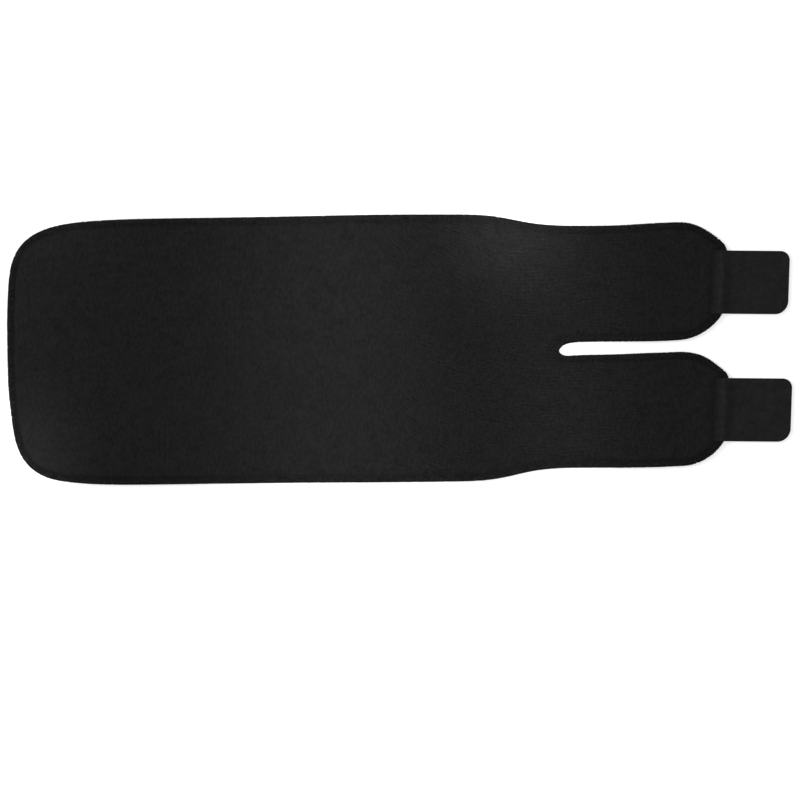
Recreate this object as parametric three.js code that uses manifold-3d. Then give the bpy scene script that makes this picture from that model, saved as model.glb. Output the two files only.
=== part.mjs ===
// Flat neoprene limb wrap: one wide padded panel, necked at the shoulders and split into two tails,
// with a hook-tape tab sewn to the end of each tail. It lies outer face up on a table.
// Millimetres. Origin under the middle of the wrap, +X towards the tabs, +Y towards the upper tail, +Z up.

import * as THREE from 'three';
import { mergeVertices } from 'three/addons/utils/BufferGeometryUtils.js';
import Module from 'manifold-3d';

const wasm = await Module();
wasm.setup();

// Cut pattern of the panel
const PANEL_LENGTH = 571; // rounded end to tail ends
const BODY_WIDTH = 210.6;
const END_REACH = 171; // length in which the rounded end grows to the full width
const END_SQUARENESS = 5.6; // exponent of the rounded end's superellipse, 2 would be an ellipse
const SHOULDER_LENGTH = 82;
const TAIL_LENGTH = 129; // neck to tail end
const TAIL_NECK_WIDTH = 90.2;
const TAIL_END_WIDTH = 91.6;
const TAIL_CORNER_RADIUS = 39;
const SLOT_LENGTH = 135.5; // slot tip to tail ends
const SLOT_TIP_WIDTH = 10.6;
const SLOT_MOUTH_WIDTH = 9.4;
const SLOT_TIP_REACH = 9; // length of the slot's rounded tip

// Laminate
const LINING_THICKNESS = 0.5;
const FOAM_THICKNESS = 3;
const FACE_THICKNESS = 0.5;
const GLUE_LINE = 0.05;

// Overlocked edge: threads wrapped round the cut edge, which they squeeze
const SEAM_WIDTH = 5.8;
const SEAM_NOSE = 2.4; // depth of the seam's rounded outer edge
const THREAD_COVER = 0.5; // thickness of the wrapped threads on each face
const EDGE_COVER = 0.8; // thickness of the wrapped threads at the cut edge
const SEAM_FIT = 0.1; // between the threads and the cloth that they hold
const SEAM_LIFT = 0.1; // seam's underside above the lining's
const SQUEEZE = 0.65; // share of the laminate's thickness that is left under the threads
const PILLOW_WIDTH = 3.4; // beside the seam, where the foam swells back
const PILLOW_ROUNDING = 0.7; // height regained at half of that width

// Hook-tape tabs
const TAPE_WIDTH = 50;
const TAPE_THICKNESS = 0.8;
const TAB_OVERLAP = 14; // sewn down and lying on the tail
const TAB_PROJECTION = 48; // past the tail's end
const TAB_CORNER_RADIUS = 8;
const SEWN_LENGTH = 4.5; // of the overlap, held by the stitches
const SEWN_CORNER_RADIUS = 2.5;
const TAPE_SEAT = 0.1; // under the sewn tape
const BEND_GAP = 0.3; // between the sewn end and the flap that bends beside it
const CREST_RISE = 0.35; // springs up beside its stitches, and still folds flat over the sewn end
const CREST_SETBACK = 7; // from the tail's end back to that crest
const DROP_RUN = 5.5; // from the tail's end to where the flap reaches the table
const CREST_HOLD = 0.75; // share of the drop over which the tape's stiffness keeps the crest level
const FOOT_HOLD = 0.3; // share of the drop in which the tape turns level again

// Hooks under the flap: three-sided monofilament out of a thin base, bent back at the tip
const HOOK_LENGTH = 1;
const HOOK_GIRTH = 0.18; // from the monofilament's middle to its corners
const HOOK_BEND = 0.25; // reach of the bend, along and across the shaft
const HOOK_CROWN = 0.3; // length of the flat run that touches the table
const HOOK_TIP_RISE = 0.35;
const HOOK_PITCH = 3.5; // wider than the real hooks stand
const HOOK_BASE = 0.25;
const HOOK_SEAT = 0.05; // between the hooks' base and the tape
const SELVEDGE = 2; // bare edge of the tape beside the hooks

const FACET_TURN = THREE.MathUtils.degToRad(8);
const TURN_SAMPLES = 48; // for measuring how far a curve turns
const CORNER_FACETS = 7; // round each corner of the tape
const NOSE_FACETS = 6; // round the seam's outer edge

const overallLength = PANEL_LENGTH + TAB_PROJECTION;
const endX = -overallLength / 2;
const tailEndX = endX + PANEL_LENGTH;
const bodyHalfWidth = BODY_WIDTH / 2;
const neckHalfSpan = SLOT_TIP_WIDTH / 2 + TAIL_NECK_WIDTH;
const tailHalfSpan = SLOT_MOUTH_WIDTH / 2 + TAIL_END_WIDTH;
const tailCentreY = (SLOT_MOUTH_WIDTH + TAIL_END_WIDTH) / 2;

const liningTop = LINING_THICKNESS;
const foamBottom = liningTop + GLUE_LINE;
const foamTop = foamBottom + FOAM_THICKNESS;
const faceBottom = foamTop + GLUE_LINE;
const panelTop = faceBottom + FACE_THICKNESS;

const seatZ = panelTop + TAPE_SEAT;
const tapeBottom = HOOK_LENGTH + HOOK_BASE + HOOK_SEAT;
const sewnX = tailEndX - TAB_OVERLAP;
const flapX = sewnX + SEWN_LENGTH + BEND_GAP;
const tabEndX = tailEndX + TAB_PROJECTION;

// Quarter of a superellipse, from the middle of the rounded end to the straight side.
class RoundedEnd extends THREE.Curve {
  getPoint(t, target = new THREE.Vector2()) {
    const angle = (t * Math.PI) / 2;
    const power = 2 / END_SQUARENESS;
    const x = endX + END_REACH * (1 - Math.cos(angle) ** power);
    return target.set(x, bodyHalfWidth * Math.sin(angle) ** power);
  }
}

function line(x0, y0, x1, y1) {
  return new THREE.LineCurve(new THREE.Vector2(x0, y0), new THREE.Vector2(x1, y1));
}

// Curve that leaves and arrives along X, with handles of the given lengths.
function easedCurve(x0, y0, x1, y1, handle0, handle1) {
  return new THREE.CubicBezierCurve(
    new THREE.Vector2(x0, y0),
    new THREE.Vector2(x0 + handle0, y0),
    new THREE.Vector2(x1 - handle1, y1),
    new THREE.Vector2(x1, y1),
  );
}

// Clockwise arc, a quarter of an ellipse with the given reaches.
function quarter(centreX, centreY, reachX, reachY, startAngle) {
  return new THREE.EllipseCurve(
    centreX, centreY, reachX, reachY, startAngle, startAngle - Math.PI / 2, true,
  );
}

function turning(curve) {
  const tangents = Array.from({ length: TURN_SAMPLES + 1 }, (_, i) => curve.getTangent(i / TURN_SAMPLES));
  return tangents.slice(1).reduce((sum, tangent, i) => sum + tangent.angleTo(tangents[i]), 0);
}

// Points along a run of curves, closer together where they turn; each curve leaves its last point out.
// The odd count keeps a point off the middle of an S-bend, where three points would lie in one line.
function facets(curves) {
  return curves.flatMap((curve) => {
    const steps = 2 * Math.ceil(turning(curve) / FACET_TURN / 2) + 1;
    return curve.getPoints(steps).slice(0, -1);
  });
}

// Finished outline of the panel, anticlockwise from the tip of the slot.
function panelOutline() {
  const corner = Math.min(TAIL_CORNER_RADIUS, TAIL_END_WIDTH / 2);
  const neckX = tailEndX - TAIL_LENGTH;
  const shoulderX = neckX - SHOULDER_LENGTH;
  const cornerX = tailEndX - corner;
  const tipX = tailEndX - SLOT_LENGTH;
  const slotStartX = tipX + SLOT_TIP_REACH;
  const slotTipHalf = SLOT_TIP_WIDTH / 2;
  const slotMouthHalf = SLOT_MOUTH_WIDTH / 2;
  const ease = SHOULDER_LENGTH / 2;
  const upperHalf = facets([
    new RoundedEnd(),
    line(endX + END_REACH, bodyHalfWidth, shoulderX, bodyHalfWidth),
    easedCurve(shoulderX, bodyHalfWidth, neckX, neckHalfSpan, ease, ease),
    line(neckX, neckHalfSpan, cornerX, tailHalfSpan),
    quarter(cornerX, tailHalfSpan - corner, corner, corner, Math.PI / 2),
    line(tailEndX, tailHalfSpan - corner, tailEndX, slotMouthHalf + corner),
    quarter(cornerX, slotMouthHalf + corner, corner, corner, 0),
    line(cornerX, slotMouthHalf, slotStartX, slotTipHalf),
    new THREE.EllipseCurve(
      slotStartX, 0, SLOT_TIP_REACH, slotTipHalf, Math.PI / 2, Math.PI, false,
    ),
  ]);
  const tip = new THREE.Vector2(tipX, 0);
  const lowerHalf = upperHalf.slice(1).map((point) => new THREE.Vector2(point.x, -point.y));
  return [tip, ...upperHalf.reverse(), ...lowerHalf];
}

// Moves each point of an anticlockwise outline inwards, square to the outline.
function inset(outline, distance) {
  return outline.map((point, i) => {
    const before = outline.at(i - 1);
    const after = outline[(i + 1) % outline.length];
    const arriving = point.clone().sub(before).normalize();
    const leaving = after.clone().sub(point).normalize();
    const inward = new THREE.Vector2(-arriving.y - leaving.y, arriving.x + leaving.x).normalize();
    const reach = distance / (inward.y * arriving.x - inward.x * arriving.y);
    return inward.multiplyScalar(reach).add(point);
  });
}

// Triangles that close an outline, turning the way that it does.
function capTriangles(outline) {
  const turn = Math.sign(THREE.ShapeUtils.area(outline));
  return THREE.ShapeUtils.triangulateShape(outline, []).map((triangle) => {
    const corners = triangle.map((index) => outline[index]);
    return THREE.ShapeUtils.area(corners) * turn > 0 ? triangle : [...triangle].reverse();
  });
}

// Skin over rings of points, each anticlockwise about the direction in which the rings follow.
// With a capPlane, which turns a point into 2-D, the first and last ring are closed;
// without one, the last ring joins the first.
function skin(rings, capPlane) {
  const size = rings[0].length;
  const strips = capPlane ? rings.length - 1 : rings.length;
  const indices = [];
  for (let k = 0; k < strips; k += 1) {
    const lower = k * size;
    const upper = ((k + 1) % rings.length) * size;
    for (let i = 0; i < size; i += 1) {
      const next = (i + 1) % size;
      indices.push(lower + i, lower + next, upper + next, lower + i, upper + next, upper + i);
    }
  }
  if (capPlane) {
    const last = (rings.length - 1) * size;
    for (const [a, b, c] of capTriangles(rings[0].map(capPlane))) indices.push(c, b, a);
    for (const triangle of capTriangles(rings.at(-1).map(capPlane))) {
      indices.push(...triangle.map((index) => last + index));
    }
  }
  const geometry = new THREE.BufferGeometry().setFromPoints(rings.flat());
  geometry.setIndex(indices);
  geometry.computeVertexNormals();
  return geometry;
}

const outline = panelOutline();
const fromAbove = (point) => new THREE.Vector2(point.x, point.y);
const fromEnd = (point) => new THREE.Vector2(point.y, point.z);

function ringAt(distance, z) {
  return inset(outline, distance).map((point) => new THREE.Vector3(point.x, point.y, z));
}

// Height under the seam of what lies at this height in the open panel.
function squeezed(height) {
  return SEAM_LIFT + THREAD_COVER + SEAM_FIT + SQUEEZE * height;
}

// One cloth or foam layer between two heights, squeezed under the seam and swelling beside it.
function layer(bottom, top) {
  const cutEdge = EDGE_COVER + SEAM_FIT;
  const seamEnd = SEAM_WIDTH + SEAM_FIT;
  const swollen = (height) => THREE.MathUtils.lerp(squeezed(height), height, PILLOW_ROUNDING);
  const face = (height) => [
    ringAt(seamEnd + PILLOW_WIDTH, height),
    ringAt(seamEnd + PILLOW_WIDTH / 2, swollen(height)),
    ringAt(seamEnd, squeezed(height)),
    ringAt(cutEdge, squeezed(height)),
  ];
  return skin([...face(bottom), ...face(top).reverse()], fromAbove);
}

// Threads wrapped round the cut edge, as one band along the whole outline.
function overlock() {
  const low = SEAM_LIFT;
  const high = squeezed(panelTop) + SEAM_FIT + THREAD_COVER;
  const middle = (low + high) / 2;
  const nose = new THREE.EllipseCurve(
    SEAM_NOSE, middle, SEAM_NOSE, (high - low) / 2, -Math.PI / 2, -Math.PI * 1.5, true,
  );
  const section = [
    new THREE.Vector2(SEAM_WIDTH, low),
    ...nose.getPoints(NOSE_FACETS),
    new THREE.Vector2(SEAM_WIDTH, high),
    new THREE.Vector2(SEAM_WIDTH, high - THREAD_COVER),
    new THREE.Vector2(EDGE_COVER, high - THREAD_COVER),
    new THREE.Vector2(EDGE_COVER, low + THREAD_COVER),
    new THREE.Vector2(SEAM_WIDTH, low + THREAD_COVER),
  ];
  return skin(section.map((point) => ringAt(point.x, point.y)));
}

function extruded(plan, depth) {
  return new THREE.ExtrudeGeometry(plan, { depth, bevelEnabled: false, curveSegments: CORNER_FACETS });
}

// Sewn end of a tab, flat on the tail. Local X starts at the tape's cut end, local Z at the seat.
function sewnEnd() {
  const half = TAPE_WIDTH / 2;
  const radius = SEWN_CORNER_RADIUS;
  const plan = new THREE.Shape();
  plan.moveTo(radius, -half);
  plan.lineTo(SEWN_LENGTH, -half);
  plan.lineTo(SEWN_LENGTH, half);
  plan.lineTo(radius, half);
  plan.absarc(radius, half - radius, radius, Math.PI / 2, Math.PI, false);
  plan.absarc(radius, radius - half, radius, Math.PI, Math.PI * 1.5, false);
  return extruded(plan, TAPE_THICKNESS);
}

// Half of the flap's width at a place along it: full, then drawn in round the free corners.
function flapHalfWidth(x) {
  const half = TAPE_WIDTH / 2;
  const past = x - (tabEndX - TAB_CORNER_RADIUS);
  if (past <= 0) return half;
  return half - TAB_CORNER_RADIUS + Math.sqrt(Math.max(0, TAB_CORNER_RADIUS ** 2 - past ** 2));
}

// Underside of the flap in side view: up to a crest on the tail, down over its end, and along the table.
function flapUnderside() {
  const crestX = tailEndX - CREST_SETBACK;
  const crestZ = seatZ + CREST_RISE;
  const rise = crestX - flapX;
  const footX = tailEndX + DROP_RUN;
  const drop = footX - crestX;
  const cornerX = tabEndX - TAB_CORNER_RADIUS;
  const cornerSteps = new THREE.EllipseCurve(
    cornerX, tapeBottom, TAB_CORNER_RADIUS, 0, Math.PI / 2, 0, true,
  );
  return [
    ...facets([
      easedCurve(flapX, seatZ, crestX, crestZ, rise / 2, rise / 2),
      easedCurve(crestX, crestZ, footX, tapeBottom, drop * CREST_HOLD, drop * FOOT_HOLD),
      line(footX, tapeBottom, cornerX, tapeBottom),
    ]),
    ...cornerSteps.getPoints(CORNER_FACETS),
  ];
}

// Flap of a tab, from its bend line to its free end. Y is measured from the tab's middle.
function flap() {
  const underside = flapUnderside();
  const rings = underside.map((point, i) => {
    const before = underside[Math.max(0, i - 1)];
    const after = underside[Math.min(underside.length - 1, i + 1)];
    const along = after.clone().sub(before).normalize();
    const top = new THREE.Vector2(point.x - along.y * TAPE_THICKNESS, point.y + along.x * TAPE_THICKNESS);
    const half = flapHalfWidth(point.x);
    return [
      new THREE.Vector3(point.x, -half, point.y),
      new THREE.Vector3(point.x, half, point.y),
      new THREE.Vector3(top.x, half, top.y),
      new THREE.Vector3(top.x, -half, top.y),
    ];
  });
  return skin(rings, fromEnd);
}

// One hook as rings along its bent middle line, from inside the base to its upturned tip.
// A flat side of the monofilament faces out of the bend.
function hook() {
  const flatSide = HOOK_GIRTH / 2;
  const halfSide = HOOK_GIRTH * Math.sin(Math.PI / 3);
  const crownX = HOOK_BEND + HOOK_CROWN;
  const ring = (x, z, outX, outZ) => {
    const out = new THREE.Vector3(outX, 0, outZ).normalize();
    const middle = new THREE.Vector3(x, 0, z);
    const side = new THREE.Vector3(0, halfSide, 0);
    const flat = middle.clone().addScaledVector(out, flatSide);
    return [flat.clone().add(side), middle.clone().addScaledVector(out, -HOOK_GIRTH), flat.clone().sub(side)];
  };
  return skin([
    ring(0, HOOK_LENGTH + HOOK_BASE / 2, -1, 0),
    ring(0, flatSide + HOOK_BEND, -1, 0),
    ring(HOOK_BEND, flatSide, 0, -1),
    ring(crownX, flatSide, 0, -1),
    ring(crownX + HOOK_BEND, flatSide + HOOK_TIP_RISE, 1, -HOOK_BEND / HOOK_TIP_RISE),
  ], fromAbove);
}

function solidOf(geometry) {
  const bare = geometry.clone();
  bare.deleteAttribute('normal');
  bare.deleteAttribute('uv');
  const merged = mergeVertices(bare);
  return new wasm.Manifold(new wasm.Mesh({
    numProp: 3,
    vertProperties: merged.attributes.position.array,
    triVerts: new Uint32Array(merged.index.array),
  }));
}

function geometryOf(solid) {
  const { vertProperties, triVerts } = solid.getMesh();
  const geometry = new THREE.BufferGeometry();
  geometry.setAttribute('position', new THREE.BufferAttribute(vertProperties, 3));
  geometry.setIndex(new THREE.BufferAttribute(triVerts, 1));
  geometry.computeVertexNormals();
  return geometry;
}

// Hooks and their base under the flat part of the flap, up to the bare selvedges.
// The hooks stand in rows across the tape, and the rows face forwards and backwards in turn.
function hookField() {
  const half = TAPE_WIDTH / 2 - SELVEDGE;
  const radius = TAB_CORNER_RADIUS - SELVEDGE;
  const startX = tailEndX + DROP_RUN;
  const freeX = tabEndX - SELVEDGE;
  const plan = new THREE.Shape();
  plan.moveTo(startX, -half);
  plan.lineTo(freeX - radius, -half);
  plan.absarc(freeX - radius, radius - half, radius, -Math.PI / 2, 0, false);
  plan.absarc(freeX - radius, half - radius, radius, 0, Math.PI / 2, false);
  plan.lineTo(startX, half);
  const base = extruded(plan, HOOK_BASE).translate(0, 0, HOOK_LENGTH);

  const margin = HOOK_BEND * 2 + HOOK_CROWN + HOOK_GIRTH;
  const rows = Math.floor((freeX - startX - margin * 2) / HOOK_PITCH);
  const columns = Math.floor((half - margin) / HOOK_PITCH);
  const hooks = [];
  for (let row = 0; row <= rows; row += 1) {
    const x = startX + margin + row * HOOK_PITCH;
    const pastCorner = Math.max(0, x + margin - (freeX - radius));
    const reach = half - radius + Math.sqrt(Math.max(0, radius ** 2 - pastCorner ** 2)) - margin;
    const facing = row % 2 === 0 ? 0 : Math.PI;
    for (let column = -columns; column <= columns; column += 1) {
      const y = column * HOOK_PITCH;
      if (Math.abs(y) <= reach) hooks.push(hook().rotateZ(facing).translate(x, y, 0));
    }
  }
  return geometryOf(wasm.Manifold.union([base, ...hooks].map(solidOf)));
}

const CLOTH = { metalness: 0 };
const loopPile = new THREE.MeshStandardMaterial({ ...CLOTH, color: 0x222222, roughness: 0.95 });
const neoprene = new THREE.MeshStandardMaterial({ ...CLOTH, color: 0x2a2a2b, roughness: 0.85 });
const jersey = new THREE.MeshStandardMaterial({ ...CLOTH, color: 0x1c1c1e, roughness: 0.8 });
const seamThread = new THREE.MeshStandardMaterial({ ...CLOTH, color: 0x181818, roughness: 0.9 });
const wovenNylon = new THREE.MeshStandardMaterial({ ...CLOTH, color: 0x202020, roughness: 0.75 });
const hookNylon = new THREE.MeshStandardMaterial({ ...CLOTH, color: 0x262626, roughness: 0.5 });

function named(name, geometry, material) {
  const mesh = new THREE.Mesh(geometry, material);
  mesh.name = name;
  return mesh;
}

// A tab on the middle of one tail; side is 1 for the upper tail and -1 for the lower.
function tab(name, side) {
  const group = new THREE.Group();
  const sewn = named(`${name}_sewn_end`, sewnEnd(), wovenNylon);
  sewn.position.set(sewnX, 0, seatZ);
  group.add(sewn);
  group.add(named(`${name}_flap`, flap(), wovenNylon));
  group.add(named(`${name}_hooks`, hookField(), hookNylon));
  group.position.y = side * tailCentreY;
  return group;
}

const wrap = new THREE.Group();
wrap.name = 'limb_wrap';
wrap.add(named('lining', layer(0, liningTop), jersey));
wrap.add(named('foam_core', layer(foamBottom, foamTop), neoprene));
wrap.add(named('outer_face', layer(faceBottom, panelTop), loopPile));
wrap.add(named('edge_overlock', overlock(), seamThread));
wrap.add(tab('upper_tab', 1));
wrap.add(tab('lower_tab', -1));

export default wrap;
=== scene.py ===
import math

import bpy
import numpy as np
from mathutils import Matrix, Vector
from mathutils.geometry import delaunay_2d_cdt


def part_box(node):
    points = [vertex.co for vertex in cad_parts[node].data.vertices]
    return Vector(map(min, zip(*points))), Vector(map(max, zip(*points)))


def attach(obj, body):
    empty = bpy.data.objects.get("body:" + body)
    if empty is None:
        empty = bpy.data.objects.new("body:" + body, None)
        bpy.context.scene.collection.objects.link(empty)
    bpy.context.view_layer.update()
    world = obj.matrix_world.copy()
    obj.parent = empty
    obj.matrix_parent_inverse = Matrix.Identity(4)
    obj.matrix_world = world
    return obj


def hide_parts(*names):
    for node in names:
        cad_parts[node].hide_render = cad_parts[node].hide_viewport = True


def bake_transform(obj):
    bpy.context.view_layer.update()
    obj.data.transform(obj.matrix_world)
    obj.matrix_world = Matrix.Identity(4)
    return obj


# A neoprene limb wrap lying flat on a table, outer face up: a laminate of loop cloth, foam and
# jersey with an overlocked edge, and a tab of woven hook tape sewn to the end of each tail.
# Sizes are in millimetres until a mesh is made. X runs towards the tabs and Z points up.

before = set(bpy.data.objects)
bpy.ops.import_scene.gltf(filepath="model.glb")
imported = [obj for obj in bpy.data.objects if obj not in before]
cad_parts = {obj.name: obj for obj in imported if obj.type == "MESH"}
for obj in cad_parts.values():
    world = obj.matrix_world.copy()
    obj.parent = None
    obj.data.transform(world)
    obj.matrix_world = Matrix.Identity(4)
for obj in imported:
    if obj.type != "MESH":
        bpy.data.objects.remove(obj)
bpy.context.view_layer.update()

MM = 0.001
rng = np.random.default_rng(19)


def extent(name):
    """Lowest and highest corner of a CAD node, in millimetres."""
    low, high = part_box(name)
    return np.array(low) / MM, np.array(high) / MM


seam_low, seam_high = extent("edge_overlock")
lining_low, lining_high = extent("lining")
foam_low, foam_high = extent("foam_core")
face_low, face_high = extent("outer_face")
sewn_low, sewn_high = extent("upper_tab_sewn_end")
flap_low, flap_high = extent("upper_tab_flap")

END_X, TAIL_END_X = seam_low[0], seam_high[0]
HALF_WIDTH = seam_high[1]
PANEL_TOP = face_high[2]
TAIL_MIDDLE_Y = (sewn_low[1] + sewn_high[1]) / 2
SIDES = {"upper": 1, "lower": -1}

# Cut pattern of the panel, as in the CAD
END_REACH = 171  # in which the rounded end grows to the full width
END_SQUARENESS = 5.6  # exponent of its superellipse
SHOULDER_LENGTH = 82
TAIL_LENGTH = 129
NECK_HALF_SPAN = 95.5
TAIL_HALF_SPAN = 96.3
TAIL_CORNER = 39
SLOT_LENGTH = 135.5
SLOT_TIP_HALF = 5.3
SLOT_MOUTH_HALF = 4.7
SLOT_TIP_REACH = 9

# Points along each curve of the pattern, from which the outline's own are taken
END_POINTS = 900
SHOULDER_POINTS = 200
ARC_POINTS = 160
OUTLINE_STEP = 2.4
OUTLINE_TURN = math.radians(7)

# Seam: how the threads hold the laminate's edge
CUT_EDGE = 0.9  # the cloths' cut edges, inside the outline
NEEDLE_LINE = 5.2  # the row of needle holes, inside the outline
SEAM_NOSE = 2.3  # in which the wrapped threads turn round the edge
HELD_FOOT = 0.7  # height of the lining's underside under the threads
SQUEEZE = 0.65  # share of the laminate's thickness left under them
PILLOW = 6  # in which the foam swells back to its full thickness
PILLOW_FIRMNESS = 2.4
NEEDLE_BITE = 0.22  # depth to which the needle thread pulls the cloths in
NEEDLE_DENT = 0.8  # reach of that dent to each side of the needle row
STITCH_PITCH = 2.2
LOOPER_HALF_WIDTH = 0.5  # bulky textured thread, flattened where it is pulled tight
LOOPER_HALF_HEIGHT = 0.26
NEEDLE_THREAD_RADIUS = 0.2

# Hook tape
TAPE_HALF_WIDTH = (sewn_high[1] - sewn_low[1]) / 2
TAPE_THICKNESS = sewn_high[2] - sewn_low[2]
SEAT = sewn_low[2]
TAPE_FOOT = flap_low[2]  # underside of the tape where it lies on its hooks
BEND_X = (sewn_high[0] + flap_low[0]) / 2
CREST_X = TAIL_END_X - 4.6  # where the tape rises highest over the seam
CREST_Z = SEAT + 0.65
FOOT_X = TAIL_END_X + 3.8  # where it has come down to its hooks
TAPE_EDGE = 0.4  # in which the tape's edges round off
CUT_END = 1.4  # in which its sewn end, pressed flat by the stitches, does
SEWN_CORNER = 2.6  # radius of the corners at its sewn end
TAB_CORNERS = {1: 7.5, -1: 10.5}  # radius of the free corners, on the side towards +Y and -Y
ROW_X = sewn_low[0] + 1.5  # the row of lockstitches
ROW_REACH = 23.4
ROW_BITE = 0.8
ROW_LIFT = 0.8  # height to which the row pulls the lining up, as a share of its bite
ROW_NEAR = 2.2  # reach of the dent towards the tape's cut end
ROW_PAST = 3  # the dent ends this far past the row
ROW_FADE = 4  # and fades in this length
TUCKED = 3  # by which a tail's end, hidden by its tape, is flatter than the pattern's
TAB_TURN = math.radians(1.1)  # by which the tabs lie askew
TAB_SHIFT = {1: (0.1, -0.7, -0.3), -1: (0.8, 0.1, 0)}  # along at its sewn end, at its free end, across
TAPE_SLANT = 0.026  # by which the tapes' ends are off square
TAPE_STITCH = 2.9
SEWING_THREAD_RADIUS = 0.26


# ---------------------------------------- cut pattern


def bezier(points, count):
    """Points along a cubic curve with these four control points."""
    p0, p1, p2, p3 = (np.array(p, float) for p in points)
    t = np.linspace(0, 1, count)[:, None]
    u = 1 - t
    return u**3 * p0 + 3 * u**2 * t * p1 + 3 * u * t**2 * p2 + t**3 * p3


def arc(centre, reach, start, end):
    """Points along an ellipse, from one angle in degrees to another."""
    angle = np.radians(np.linspace(start, end, ARC_POINTS))
    return np.array(centre) + np.stack([reach[0] * np.cos(angle), reach[1] * np.sin(angle)], 1)


def upper_edge():
    """Edge of the panel from the middle of the rounded end round the upper tail to the slot's tip."""
    turn = np.linspace(0, math.pi / 2, END_POINTS)
    power = 2 / END_SQUARENESS
    rounded = np.stack(
        [END_X + END_REACH * (1 - np.cos(turn) ** power), HALF_WIDTH * np.sin(turn) ** power], 1
    )
    neck_x = TAIL_END_X - TAIL_LENGTH
    shoulder_x = neck_x - SHOULDER_LENGTH
    middle_x = (neck_x + shoulder_x) / 2
    wide = [(shoulder_x, HALF_WIDTH), (middle_x, HALF_WIDTH)]
    narrow = [(middle_x, NECK_HALF_SPAN), (neck_x, NECK_HALF_SPAN)]
    corner_x = TAIL_END_X - TAIL_CORNER
    round_corner = (TAIL_CORNER, TAIL_CORNER)
    slot_x = TAIL_END_X - SLOT_LENGTH + SLOT_TIP_REACH
    return np.vstack([
        rounded,
        bezier(wide + narrow, SHOULDER_POINTS),
        arc((corner_x, TAIL_HALF_SPAN - TAIL_CORNER), round_corner, 90, 0),
        arc((corner_x, SLOT_MOUTH_HALF + TAIL_CORNER), round_corner, 0, -90),
        arc((slot_x, 0), (SLOT_TIP_REACH, SLOT_TIP_HALF), 90, 180),
    ])


def run_along(steps):
    """Length run up to each point of a line, from the lengths of its steps."""
    return np.concatenate([[0], np.cumsum(steps)])


def on_ring(ring, run, where):
    """Values of a closed ring at places along it. run is the length up to each of its points."""
    closed = np.vstack([ring, ring[:1]])
    return np.stack([np.interp(where, run, closed[:, i]) for i in (0, 1)], 1)


def spaced(line, spacing, turn):
    """Points along a closed line, at most spacing apart, and closer where it turns; and the line's
    inward directions there. The line runs anticlockwise."""
    step = np.roll(line, -1, 0) - line
    length = np.hypot(*step.T)
    heading = np.unwrap(np.arctan2(step[:, 1], step[:, 0]))
    bend = np.abs(np.diff(np.append(heading, heading[0] + 2 * math.pi)))
    bend = (bend + np.roll(bend, 1)) / 2
    run = run_along(length / spacing + bend / turn)
    count = math.ceil(run[-1])
    points = on_ring(line, run, np.arange(count) * run[-1] / count)
    along = np.roll(points, -1, 0) - np.roll(points, 1, 0)
    along /= np.hypot(*along.T)[:, None]
    return points, np.stack([-along[:, 1], along[:, 0]], 1)


upper = upper_edge()
outline, inward = spaced(
    np.vstack([upper[:0:-1], upper[:-1] * (1, -1)]), OUTLINE_STEP, OUTLINE_TURN
)


def depth_of(points):
    """Distance of points inside the outline, less than nothing for points outside it."""
    depths = np.empty(len(points))
    batch = 500  # points at a time, to keep the table of distances small
    for start in range(0, len(points), batch):
        offsets = points[start : start + batch, None] - outline[None]
        nearest = (offsets**2).sum(2).argmin(1)
        chosen = offsets[np.arange(len(nearest)), nearest]
        depths[start : start + batch] = (chosen * inward[nearest]).sum(1)
    return depths


# ---------------------------------------- how the wrap lies

MEAN_RISE = 0.68
TABS_HOLD_X = 236  # from here to the tail ends the tabs hold the sheet flat
SWELL_FADE = 60


def ramp(x, start, length):
    """Smooth share from 0 at start to 1 a length further on. A negative length runs backwards."""
    share = np.clip((x - start) / length, 0, 1)
    return share * share * (3 - 2 * share)


def bump_at(x, centre, reach):
    """Smooth share that is 1 at the centre and falls away over about the reach."""
    return np.exp(-(((x - centre) / reach) ** 2))


def off_tail_middle(y):
    """Distance from the middle line of the nearer tail."""
    return np.abs(np.abs(y) - TAIL_MIDDLE_Y)


def rise(x, y):
    """Height of the sheet's underside over the table: foam sheet keeps low swells after folding."""
    # Each swell is its height times a sine, and what x and y are divided by is its length over 2 pi
    long_swell = 0.30 * np.sin(x / 31 + 0.8 * np.sin(y / 46))
    cross_swell = 0.22 * np.sin(y / 24 - x / 87 + 1.3)
    short_swell = 0.16 * np.sin(x / 17 - y / 39 + 2.1)
    swell = long_swell + cross_swell + short_swell
    return (MEAN_RISE + swell) * ramp(x, TABS_HOLD_X, -SWELL_FADE)


def row_dent(x, y):
    """Depth to which the lockstitches pull a tape and what is under it."""
    to_crest = np.clip((x - ROW_X) / (CREST_X - ROW_X), 0, 1)
    across = np.where(x < ROW_X, bump_at(x, ROW_X, ROW_NEAR), 1 - to_crest**2)
    along = ramp(off_tail_middle(y), ROW_REACH + ROW_PAST, -ROW_FADE)
    pucker = 1 + 0.15 * np.sin(y / 1.3) + 0.1 * np.sin(y / 0.7)
    return ROW_BITE * across * along * pucker


def needle_bite(depth):
    """Depth to which the needle thread pulls a face in, beside the row of needle holes."""
    return NEEDLE_BITE * bump_at(depth, NEEDLE_LINE, NEEDLE_DENT)


def level_height(x, y, depth, level):
    """Height over the table of a level of the open laminate, at a place in the wrap."""
    swollen = 1 - (1 - np.clip((depth - NEEDLE_LINE) / PILLOW, 0, 1)) ** PILLOW_FIRMNESS
    held = HELD_FOOT + SQUEEZE * level
    from_middle = 2 * level / PANEL_TOP - 1
    row_pull = row_dent(x, y) * ((1 + ROW_LIFT) * level / PANEL_TOP - ROW_LIFT)
    return held + (level - held) * swollen - needle_bite(depth) * from_middle - row_pull + rise(x, y)


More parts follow.
